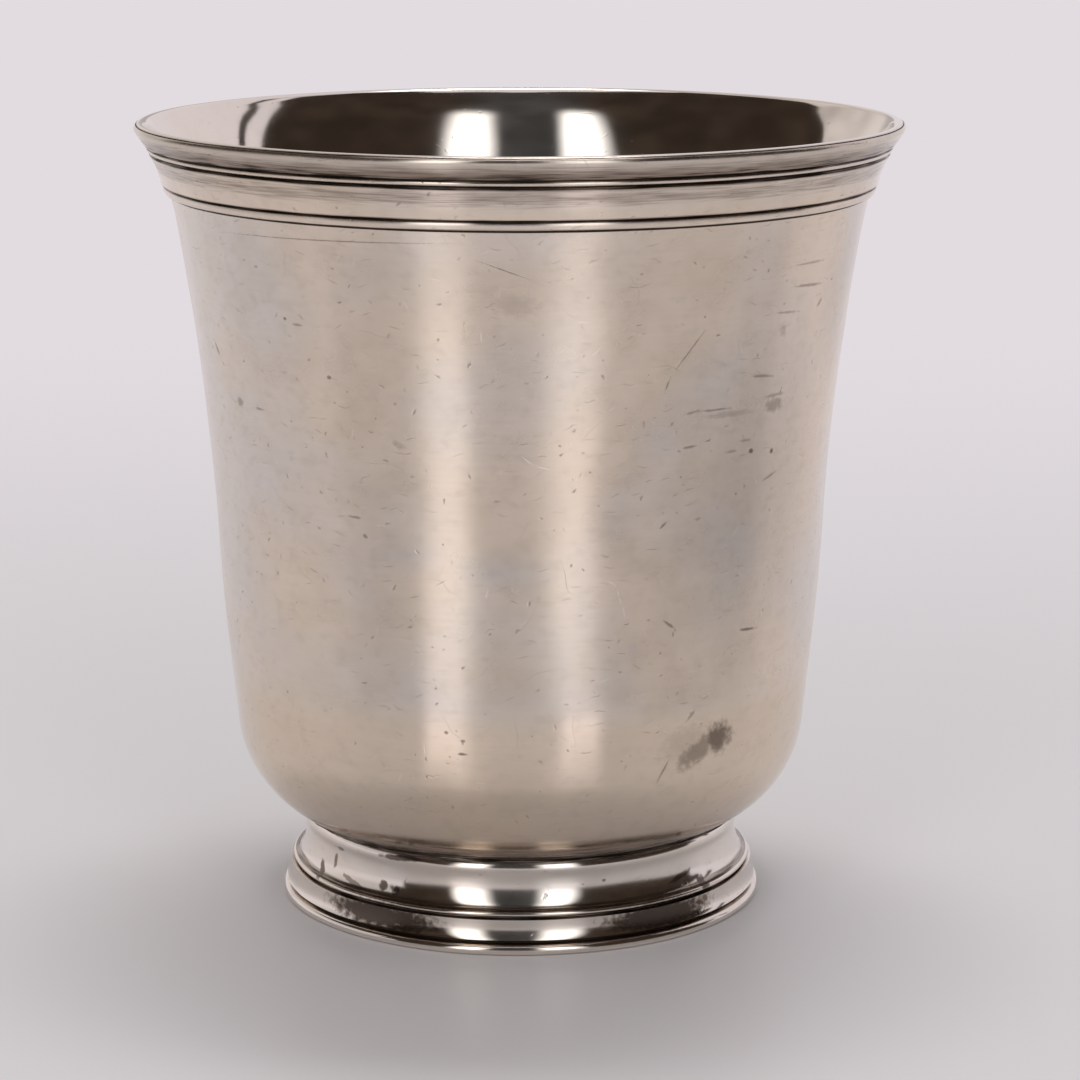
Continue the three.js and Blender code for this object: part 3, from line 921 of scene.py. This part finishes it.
def spot_group():
    """One mark with a centre, a reach either way and a lean, and uneven edges."""
    wiring, given, result = new_group(
        "Spot",
        {
            "Side": (0, 0, 0), "Centre": (0, 0, 0), "Reach": (MM, MM, MM), "Lean": 0.0, "Grit": 0.5,
            "Ragged": 0.5, "Core": 0.4,
        },
        ["Mask"],
    )
    away = wiring.vector("SUBTRACT", given["Side"], given["Centre"])
    turned = wiring.add("VectorRotate", {"Vector": away, "Angle": given["Lean"]}, rotation_type="Z_AXIS")
    reached = wiring.measure("LENGTH", wiring.vector("DIVIDE", turned.outputs[0], given["Reach"]))
    uneven = wiring.math("MULTIPLY", wiring.math("SUBTRACT", given["Grit"], 0.5), given["Ragged"])
    wiring.feed(
        result["Mask"], wiring.ramp(wiring.math("ADD", reached, uneven), given["Core"], 1.0, 1.0, 0.0)
    )
    return wiring.tree


# Materials

def effects():
    """The node groups that the finishes share, built once."""
    builders = {
        "Unrolled surface": unrolled_group, "Scratches": scratches_group, "Flecks": flecks_group,
        "Patina": patina_group, "Spot": spot_group,
    }
    made = bpy.data.node_groups
    return {name: made.get(name) or build() for name, build in builders.items()}


class Surface:
    """The nodes that every silver finish starts from, and the marks that lie on it."""

    def __init__(self, wiring, radius):
        self.wiring = wiring
        self.groups = effects()
        self.radius = radius
        place = wiring.add("TexCoord").outputs["Object"]
        self.flat = wiring.group(self.groups["Unrolled surface"], place=place, radius=radius)
        self.patina = wiring.group(self.groups["Patina"], place=place)

    def mark(self, name):
        return self.wiring.add("Attribute", attribute_name=name).outputs["Fac"]

    def wear(self, kind, settings):
        """Scratches or flecks all over the surface."""
        return self.wiring.group(self.groups[kind], surface=self.flat["Surface"], **settings)["Mask"]

    def spots(self, marks, core, ragged):
        """All marks of one kind in one mask."""
        total = 0.0
        for mark in marks:
            mask = self.wiring.group(
                self.groups["Spot"], side=self.flat["Side"], grit=self.patina["Grit"],
                centre=(math.radians(mark.turn) * self.radius, mark.height * MM, 0),
                reach=(mark.wide * MM, mark.tall * MM, 1), lean=-math.radians(mark.lean),
                core=core, ragged=ragged,
            )["Mask"]
            strong = self.wiring.math("MULTIPLY", mask, mark.strength)
            total = self.wiring.math("MAXIMUM", strong, total)
        return total


Look = namedtuple("Look", "name light cool roughness grain wear radius")

# Fine wear: the distance between marks, their width or size, the share of places that have one, and
# how they bend, spread or stretch
HAIRLINES = {"spacing": 6 * MM, "width": 0.08 * MM, "share": 0.4, "bend": 0.6}
NICKS = {"spacing": 1.8 * MM, "width": 0.09 * MM, "share": 0.14, "bend": 0.2}
DASHES = {"spacing": 1.7 * MM, "width": 0.11 * MM, "share": 0.22, "bend": 0.5, "spread": 1.0}
FLECKS = {"spacing": 1.5 * MM, "size": 0.2 * MM, "share": 0.26, "stretch": 3.0}
SCRATCH_DEPTH = 0.015 * MM

# How much a cloud of patina and a streak of tarnish add to what the vertices are marked with, which
# also hold painted shade, and the values between which shelter, brown tarnish and black oxide set in
CLOUD_SHELTER = 0.4
STREAK_TARNISH = 0.25
MARKED_TARNISH = 1.1
SHELTERED = (0.3, 1.1)
BROWNED = (0.35, 0.95)
BLACKENED = (0.85, 1.08)

# The way of the polishing lines: round the axis, and a little askew
GRAIN_TURN = 0.24


def silver(look, finish, stains=(), scratches=(), films_and_shade=(), tarnished=()):
    """Silver with patina, scratches, flecks, stains, and oxide and painted shade where its vertices are
    marked.
    """
    made = bpy.data.materials.get(look.name)
    if made:
        return made
    material, wiring = new_material(look.name)
    shader = material.node_tree.nodes["Principled BSDF"]
    surface = Surface(wiring, look.radius)
    patina = surface.patina
    hairlines, nicks, dashes = (
        surface.wear("Scratches", settings) for settings in (HAIRLINES, NICKS, DASHES)
    )
    flecks = surface.wear("Flecks", FLECKS)
    # Tan patina, and painted shade low on the bowl and under the reeds, from the vertex marks and the
    # cloud
    shelter = wiring.math("MULTIPLY_ADD", patina["Cloud"], CLOUD_SHELTER, surface.mark(SHELTER_AND_SHADE))
    shelter = wiring.ramp(shelter, *SHELTERED)
    # Tarnish from the vertex marks, which also hold painted shade, and from streaks and spots
    tarnish = wiring.math("MULTIPLY", patina["Streak"], STREAK_TARNISH)
    tarnish = wiring.math("MULTIPLY_ADD", surface.mark(OXIDE_AND_SHADE), MARKED_TARNISH, tarnish)
    tarnish = wiring.math("MAXIMUM", tarnish, surface.spots(tarnished, core=0.4, ragged=0.25))
    stained = surface.spots(stains, core=0.3, ragged=0.35)
    blackened = wiring.ramp(tarnish, *BLACKENED)

    # Each layer's mask, its strength and its colour, from the lowest up
    layers = [
        # Films: bluish haze and honey patina, and grey patches of painted shade
        *((surface.spots(marks, core=0.0, ragged=0.12), 0.55, tint) for marks, tint in films_and_shade),
        # Tan patina and painted shade where the vertices are marked
        (shelter, 0.65, finish.tan),
        (patina["Mottle"], 0.15, finish.tan),
        (patina["Speckle"], 0.12 * look.wear, finish.dash),
        (patina["Brush"], 0.03 * look.wear, finish.dash),
        (hairlines, 0.28 * look.wear, finish.dash),
        (nicks, 0.4 * look.wear, finish.scuff),
        (dashes, 0.42 * look.wear, finish.dash),
        (flecks, 0.5 * look.wear, finish.stain),
        (surface.spots(scratches, core=0.2, ragged=0.3), 1.0, finish.scuff),
        (stained, 0.9, finish.stain),
        # Brown tarnish and black oxide, which also paint shade in the corner above the foot, on the lip
        # band, at the flange and under the strip
        (wiring.ramp(tarnish, *BROWNED), 0.85, finish.stain),
        (blackened, 1.0, finish.oxide),
    ]
    base = wiring.mix(patina["Cloud"], (*look.light, 1), (*look.cool, 1))
    for mask, strength, tint in layers:
        base = wiring.mix(wiring.math("MULTIPLY", mask, strength), base, (*tint, 1))
    wiring.feed(shader.inputs["Base Color"], base)

    rough = look.roughness
    if look.grain:
        rough = wiring.math("MULTIPLY_ADD", shelter, finish.shelter_roughness - rough, rough)
    duller = ((patina["Mottle"], 0.15 * look.roughness), (stained, 0.15), (blackened, 0.3))
    for mask, gain in duller:
        rough = wiring.math("MULTIPLY_ADD", mask, gain, rough)
    wiring.feed(shader.inputs["Roughness"], rough)

    depth = flecks
    for mask, part in ((hairlines, 0.3), (dashes, 0.5), (nicks, 0.4)):
        depth = wiring.math("MULTIPLY_ADD", mask, part, depth)
    dents = {"Height": depth, "Distance": SCRATCH_DEPTH, "Strength": look.wear}
    bump = wiring.add("Bump", dents, invert=True)
    wiring.feed(shader.inputs["Normal"], bump.outputs[0])
    shader.inputs["Metallic"].default_value = 1.0
    if look.grain:
        shader.inputs["Anisotropic"].default_value = look.grain
        shader.inputs["Anisotropic Rotation"].default_value = GRAIN_TURN
        tangent = wiring.add("Tangent", direction_type="RADIAL", axis="Z")
        wiring.feed(shader.inputs["Tangent"], tangent.outputs[0])
    return material


def satin_silver(finish):
    """The bowl's outside and the strip: worn satin with a warm patina and patches of painted shade."""
    look = Look(
        "Satin silver", finish.satin, finish.satin_cool, finish.satin_roughness,
        finish.satin_grain, wear=1.0, radius=35 * MM,
    )
    films_and_shade = ((BOWL_HAZE, finish.haze), (BOWL_TAN, finish.honey), (BOWL_PAINTED_SHADE, finish.painted_shade))
    return silver(look, finish, BOWL_STAINS, BOWL_SCRATCHES, films_and_shade)


def bright_inside(finish):
    """The polished inside of the bowl."""
    look = Look(
        "Polished inside", finish.bright, finish.bright_cool, finish.bright_roughness,
        grain=0, wear=0.25, radius=35 * MM,
    )
    return silver(look, finish)


def bright_silver(finish):
    """The polished foot and base ring."""
    look = Look(
        "Bright silver", finish.bright, finish.bright_cool, finish.foot_roughness,
        finish.foot_grain, wear=0.5, radius=26 * MM,
    )
    return silver(look, finish, tarnished=(*FOOT_STAINS, *BASE_TARNISH))


def dull_solder(finish):
    """Hard solder, black in the seams, and painted dark as shade under the reeded strip."""
    look = Look(
        "Dull solder", finish.solder, finish.solder, finish.solder_roughness,
        grain=0, wear=0.4, radius=26 * MM,
    )
    return silver(look, finish)


# Stage, with places and distances in metres and turns in degrees round from the front

# Two tall softboxes, each with its turn and its share of the strength, and one overhead
WINDOWS = ((-24.3, 1.0), (19.6, 0.9))
WINDOW_DISTANCE = 0.85
WINDOW_HEIGHT = 0.52
WINDOW_SIZE = (0.39, 1.28)
OVERHEAD = Vector((0.05, 0.34, 1.4))
OVERHEAD_SIZE = (0.9, 0.3)
# How far a softbox fades out, as a share of its width and of its length
SOFT_EDGES = (0.36, 0.16)

# What stands round the cup to be reflected: its distance, its lower and upper edge, where it
# starts and ends, and its tint
Flag = namedtuple("Flag", "name reach low high start end tint")
FLAGS = (
    Flag("flag_low", 0.95, 0.0, 0.15, -61, 98, "dark"),
    Flag("flag_high", 0.95, 0.15, 2.1, -128, 105, "dark"),
    Flag("flag_edge", 0.95, 0.15, 2.1, 113, 117, "dark"),
    Flag("flag_grey", 0.95, 0.15, 2.1, -180, -128, "grey"),
    Flag("card_left", 0.2, 0.03, 0.1, -135, -66, "pale"),
)
# How far to the side a flag goes over from its front colour to its side colour
FLAG_SIDE = (0.1, 0.6)

# The table's painted glow, which only the metal shows, by distance from the axis: under the cup, and
# to the left, the front and, from a little further off, the right. Where a row here or below has four
# numbers, the last two are the strengths at the first two.
GLOW_UNDER = (0.02, 0.026, 0.5, 0.0)
GLOW_AROUND = (0.1, 0.22, 0.0, 0.65)
GLOW_RIGHT = 0.08
# The painted sheen of the windows on it, which only the metal shows: from where, up to where, and far
# off
SHEEN_FROM = (0.07, 0.085)
SHEEN_TO = (0.1, 0.13, 0.78, 0.0)
SHEEN_FAR = (0.25, 0.4, 0.0, 0.8)
# How far to each side of a window's middle the sheen reaches, in radians
SHEEN_SIDES = (0.06, 0.2, 1.0, 0.0)
# Where the table passes into the backdrop, behind the cup and all round
BACKDROP_BEHIND = (0.02, 0.45)
BACKDROP_AROUND = (0.4, 1.6)


def seen_rays(wiring):
    """Is 1 on the rays by which the camera sees a surface, also in metal or glass."""
    rays = wiring.add("LightPath").outputs
    seen = wiring.math("MAXIMUM", rays["Is Camera Ray"], rays["Is Glossy Ray"])
    return wiring.math("MAXIMUM", seen, rays["Is Transmission Ray"])


def painted_window_sheen(wiring, turn, out):
    """Where the table is painted with a sheen of the two windows, close to the cup and far off."""
    near = wiring.math("MULTIPLY", wiring.ramp(out, *SHEEN_FROM), wiring.ramp(out, *SHEEN_TO))
    sheen = 0.0
    for window, _ in WINDOWS:
        off_middle = wiring.math("ABSOLUTE", wiring.math("SUBTRACT", turn, math.radians(window)))
        sheen = wiring.math("MAXIMUM", sheen, wiring.ramp(off_middle, *SHEEN_SIDES))
    return wiring.math("MULTIPLY", sheen, wiring.math("MAXIMUM", near, wiring.ramp(out, *SHEEN_FAR)))


def painted_table_glow(wiring, rays):
    """How far the table gives way to a glow, and how strong that is.

    The camera sees it pass into the backdrop. The metal also shows it as a painted pale glow near by,
    with a painted sheen of the windows.
    """
    place = wiring.add("TexCoord").outputs["Object"]
    parts = wiring.add("SeparateXYZ", {0: place}).outputs
    out = wiring.measure("LENGTH", place)
    leftward = wiring.math("MULTIPLY", parts["X"], -1.0)
    rightward = wiring.math("SUBTRACT", parts["X"], GLOW_RIGHT)
    forward = wiring.math("MULTIPLY", parts["Y"], -1.0)
    reach = wiring.math("MAXIMUM", wiring.math("MAXIMUM", leftward, rightward), forward)
    pale = wiring.math("MAXIMUM", wiring.ramp(reach, *GLOW_AROUND), wiring.ramp(out, *GLOW_UNDER))
    sheen = painted_window_sheen(wiring, wiring.math("ARCTAN2", parts["X"], forward), out)
    nearby = wiring.math("MULTIPLY", wiring.math("MAXIMUM", pale, sheen), rays["Is Glossy Ray"])
    behind = wiring.math("MULTIPLY", wiring.ramp(parts["Y"], *BACKDROP_BEHIND), seen_rays(wiring))
    far = wiring.math("MULTIPLY", wiring.ramp(out, *BACKDROP_AROUND), rays["Is Camera Ray"])
    share_of_glow = wiring.math("MAXIMUM", wiring.math("MAXIMUM", behind, far), nearby)
    return share_of_glow, wiring.math("ADD", sheen, 1.0)


def floor_material(stage):
    """Pale table with a painted glow and sheen that only the metal shows, and clear from underneath."""
    material, wiring = new_material("Pale table")
    material.cycles.emission_sampling = "NONE"
    nodes = material.node_tree.nodes
    shader = nodes["Principled BSDF"]
    shader.inputs["Base Color"].default_value = (*stage.floor, 1)
    shader.inputs["Roughness"].default_value = 0.4
    shader.inputs["Specular IOR Level"].default_value = 0.35
    rays = wiring.add("LightPath").outputs
    away, strength = painted_table_glow(wiring, rays)
    glow = wiring.add("Emission", {"Color": (*stage.backdrop, 1), "Strength": strength}).outputs[0]
    seen = wiring.add("MixShader", {0: away, 1: shader.outputs[0], 2: glow}).outputs[0]
    below = wiring.add("NewGeometry").outputs["Backfacing"]
    clear = wiring.add("BsdfTransparent").outputs[0]
    surface = wiring.add("MixShader", {0: below, 1: seen, 2: clear}).outputs[0]
    wiring.feed(nodes["Material Output"].inputs["Surface"], surface)
    return material


def add_floor(stage):
    """A round floor under the cup."""
    shape = bmesh.new()
    bmesh.ops.create_circle(shape, cap_ends=True, radius=stage.floor_radius, segments=96)
    add_mesh("floor", shape, [floor_material(stage)])


def flag_material(name, front, side):
    """An uneven glow that goes over from a front colour to a side colour."""
    material, wiring = new_material(name)
    material.cycles.emission_sampling = "NONE"
    place = wiring.add("TexCoord").outputs["Object"]
    aside = wiring.math("ABSOLUTE", wiring.add("SeparateXYZ", {0: place}).outputs["X"])
    tint = wiring.mix(wiring.ramp(aside, *FLAG_SIDE), (*front, 1), (*side, 1))
    uneven = wiring.add("TexNoise", {"Vector": place, "Scale": 3.0, "Detail": 1.0}).outputs["Fac"]
    strength = wiring.ramp(uneven, 0.3, 0.7, start=0.75, end=1.25)
    glow = wiring.add("Emission", {"Color": tint, "Strength": strength}).outputs[0]
    wiring.feed(material.node_tree.nodes["Material Output"].inputs["Surface"], glow)
    return material


def add_flag(flag, front, side):
    """A curved flag or card round the cup, which only reflections show."""
    start, end = math.radians(flag.start), math.radians(flag.end)
    shape = bmesh.new()
    ends = [
        shape.verts.new((flag.reach * math.sin(start), -flag.reach * math.cos(start), height))
        for height in (flag.low, flag.high)
    ]
    edge = shape.edges.new(ends)
    bmesh.ops.spin(
        shape, geom=[*ends, edge], cent=(0, 0, 0), axis=(0, 0, 1), angle=end - start, steps=48
    )
    made = add_mesh(flag.name, shape, [flag_material(flag.name, front, side)])
    made.visible_camera = False
    made.visible_diffuse = False
    made.visible_shadow = False


def soften(lamp):
    """Fades a softbox out towards its sides and its ends."""
    lamp.use_nodes = True
    wiring = Wiring(lamp.node_tree)
    place = wiring.add("NewGeometry").outputs["Parametric"]
    parts = wiring.add("SeparateXYZ", {0: place}).outputs
    strength = 1.0
    for side, edge in zip((parts["X"], parts["Y"]), SOFT_EDGES):
        off_centre = wiring.math("ABSOLUTE", wiring.math("SUBTRACT", side, 0.5))
        shine = wiring.ramp(off_centre, 0.5 - edge, 0.5, 1.0, 0.0)
        strength = wiring.math("MULTIPLY", shine, strength)
    wiring.feed(lamp.node_tree.nodes["Emission"].inputs["Strength"], strength)


def add_softbox(name, place, target, size, strength):
    """A rectangular softbox that faces a point, with a strength given as its radiance."""
    lamp = bpy.data.lights.new(name, "AREA")
    lamp.shape = "RECTANGLE"
    lamp.size, lamp.size_y = size
    lamp.energy = strength * math.pi * lamp.size * lamp.size_y
    soften(lamp)
    softbox = bpy.data.objects.new(name, lamp)
    softbox.location = place
    softbox.rotation_mode = "QUATERNION"
    softbox.rotation_quaternion = (target - place).to_track_quat("-Z", "Y")
    softbox.visible_camera = False
    bpy.context.scene.collection.objects.link(softbox)


def add_windows(strength):
    """The two tall softboxes in front of the cup."""
    for name, (turn, part) in zip(("window_left", "window_right"), WINDOWS):
        angle = math.radians(turn)
        facing = Vector((0, 0, WINDOW_HEIGHT))
        place = facing + WINDOW_DISTANCE * Vector((math.sin(angle), -math.cos(angle), 0))
        add_softbox(name, place, facing, WINDOW_SIZE, part * strength)


def add_camera(stage):
    """The camera at the photograph's place."""
    lens = bpy.data.cameras.new("camera")
    lens.sensor_fit = "HORIZONTAL"
    lens.sensor_width = 36
    lens.lens = stage.camera_lens
    lens.clip_start, lens.clip_end = 0.01, 20
    camera = bpy.data.objects.new("camera", lens)
    camera.location = stage.camera_place
    camera.rotation_euler = (math.pi / 2 - stage.camera_pitch, 0, 0)
    bpy.context.scene.collection.objects.link(camera)
    bpy.context.scene.camera = camera


# Operators

class BEAKER_OT_bowl(Operator):
    """Make the raised bowl, satin outside and polished inside"""

    bl_idname = "beaker.bowl"
    bl_label = "Bowl"

    def execute(self, context):
        cup = context.scene.beaker
        shape = spun(bowl_section(cup.bowl, cup.finish), cup.segments, closed=False)
        planish(shape, cup.finish)
        finishes = [satin_silver(cup.finish), bright_inside(cup.finish)]
        place_piece("silver_bowl", shape, finishes, "bowl")
        return {"FINISHED"}


class BEAKER_OT_rim(Operator):
    """Make the reeded strip round the lip"""

    bl_idname = "beaker.rim"
    bl_label = "Reeded strip"

    def execute(self, context):
        cup = context.scene.beaker
        shape = spun(rim_section(cup.bowl, cup.rim), cup.segments, closed=True)
        planish(shape, cup.finish)
        place_piece(
            "reeded_strip", shape, [satin_silver(cup.finish)], "rim_moulding"
        )
        return {"FINISHED"}


class BEAKER_OT_foot(Operator):
    """Make the spool foot and the base ring under it"""

    bl_idname = "beaker.foot"
    bl_label = "Foot and base ring"

    def execute(self, context):
        cup = context.scene.beaker
        pieces = [
            ("spool_foot", foot_section(cup.foot), "foot_spool"),
            ("base_ring", base_section(cup.foot), "base_moulding"),
        ]
        for name, section, node in pieces:
            shape = spun(section, cup.segments, closed=True)
            planish(shape, cup.finish)
            place_piece(name, shape, [bright_silver(cup.finish)], node)
        return {"FINISHED"}


class BEAKER_OT_solder(Operator):
    """Make the three soldered seams"""

    bl_idname = "beaker.solder"
    bl_label = "Soldered seams"

    def execute(self, context):
        cup = context.scene.beaker
        seams = [
            ("rim_fillet", rim_solder_section(cup.bowl, cup.rim, cup.solder), "rim_solder"),
            ("foot_seam", foot_solder_section(cup.bowl, cup.foot, cup.solder), "foot_solder"),
            ("base_seam", base_solder_section(cup.solder), "base_solder"),
        ]
        for name, section, node in seams:
            shape = spun(section, cup.segments, closed=True)
            planish(shape, cup.finish)
            if node == "foot_solder":
                roughen(shape, cup.solder.ragged)
            place_piece(name, shape, [dull_solder(cup.finish)], node)
        return {"FINISHED"}


class BEAKER_OT_stage(Operator):
    """Set up the pale floor, the soft light and the camera"""

    bl_idname = "beaker.stage"
    bl_label = "Stage"

    def execute(self, context):
        scene = context.scene
        stage = scene.beaker.stage
        scene.view_settings.view_transform = "Standard"
        world = bpy.data.worlds.new("pale_room")
        world.use_nodes = True
        wiring = Wiring(world.node_tree)
        background = world.node_tree.nodes["Background"]
        light = wiring.mix(seen_rays(wiring), (*stage.ambient, 1), (*stage.backdrop, 1))
        wiring.feed(background.inputs["Color"], light)
        scene.world = world
        add_floor(stage)
        tints = {
            "dark": (stage.flag_front, stage.flag), "grey": (stage.grey_flag,) * 2,
            "pale": (stage.card,) * 2,
        }
        for flag in FLAGS:
            add_flag(flag, *tints[flag.tint])
        add_windows(stage.window_strength)
        waist = Vector((0, 0, CUP_HEIGHT / 2))
        add_softbox("overhead", OVERHEAD, waist, OVERHEAD_SIZE, stage.top_strength)
        add_camera(stage)
        return {"FINISHED"}


class BEAKER_PT_tools(Panel):
    """Lists the beaker's operators and settings"""

    bl_idname = "BEAKER_PT_tools"
    bl_label = "Footed silver beaker"
    bl_space_type = "VIEW_3D"
    bl_region_type = "UI"
    bl_category = "Beaker"

    def draw(self, context):
        cup = context.scene.beaker
        for operator in OPERATORS:
            self.layout.operator(operator.bl_idname)
        self.layout.prop(cup, "segments")
        for part in (cup.bowl, cup.rim, cup.foot, cup.solder, cup.finish, cup.stage):
            box = self.layout.box()
            for name in part.__annotations__:
                box.prop(part, name)


SETTINGS = (
    BowlSettings, RimSettings, FootSettings, SolderSettings, FinishSettings, StageSettings,
    BeakerSettings,
)
OPERATORS = (
    BEAKER_OT_bowl, BEAKER_OT_rim, BEAKER_OT_foot, BEAKER_OT_solder, BEAKER_OT_stage,
)
CLASSES = (*SETTINGS, *OPERATORS, BEAKER_PT_tools)


def register():
    for entry in CLASSES:
        bpy.utils.register_class(entry)
    bpy.types.Scene.beaker = PointerProperty(type=BeakerSettings)


def unregister():
    del bpy.types.Scene.beaker
    for entry in reversed(CLASSES):
        bpy.utils.unregister_class(entry)


def main():
    register()
    bpy.ops.beaker.stage()
    bpy.ops.beaker.bowl()
    bpy.ops.beaker.rim()
    bpy.ops.beaker.foot()
    bpy.ops.beaker.solder()


if __name__ == "__main__":
    main()
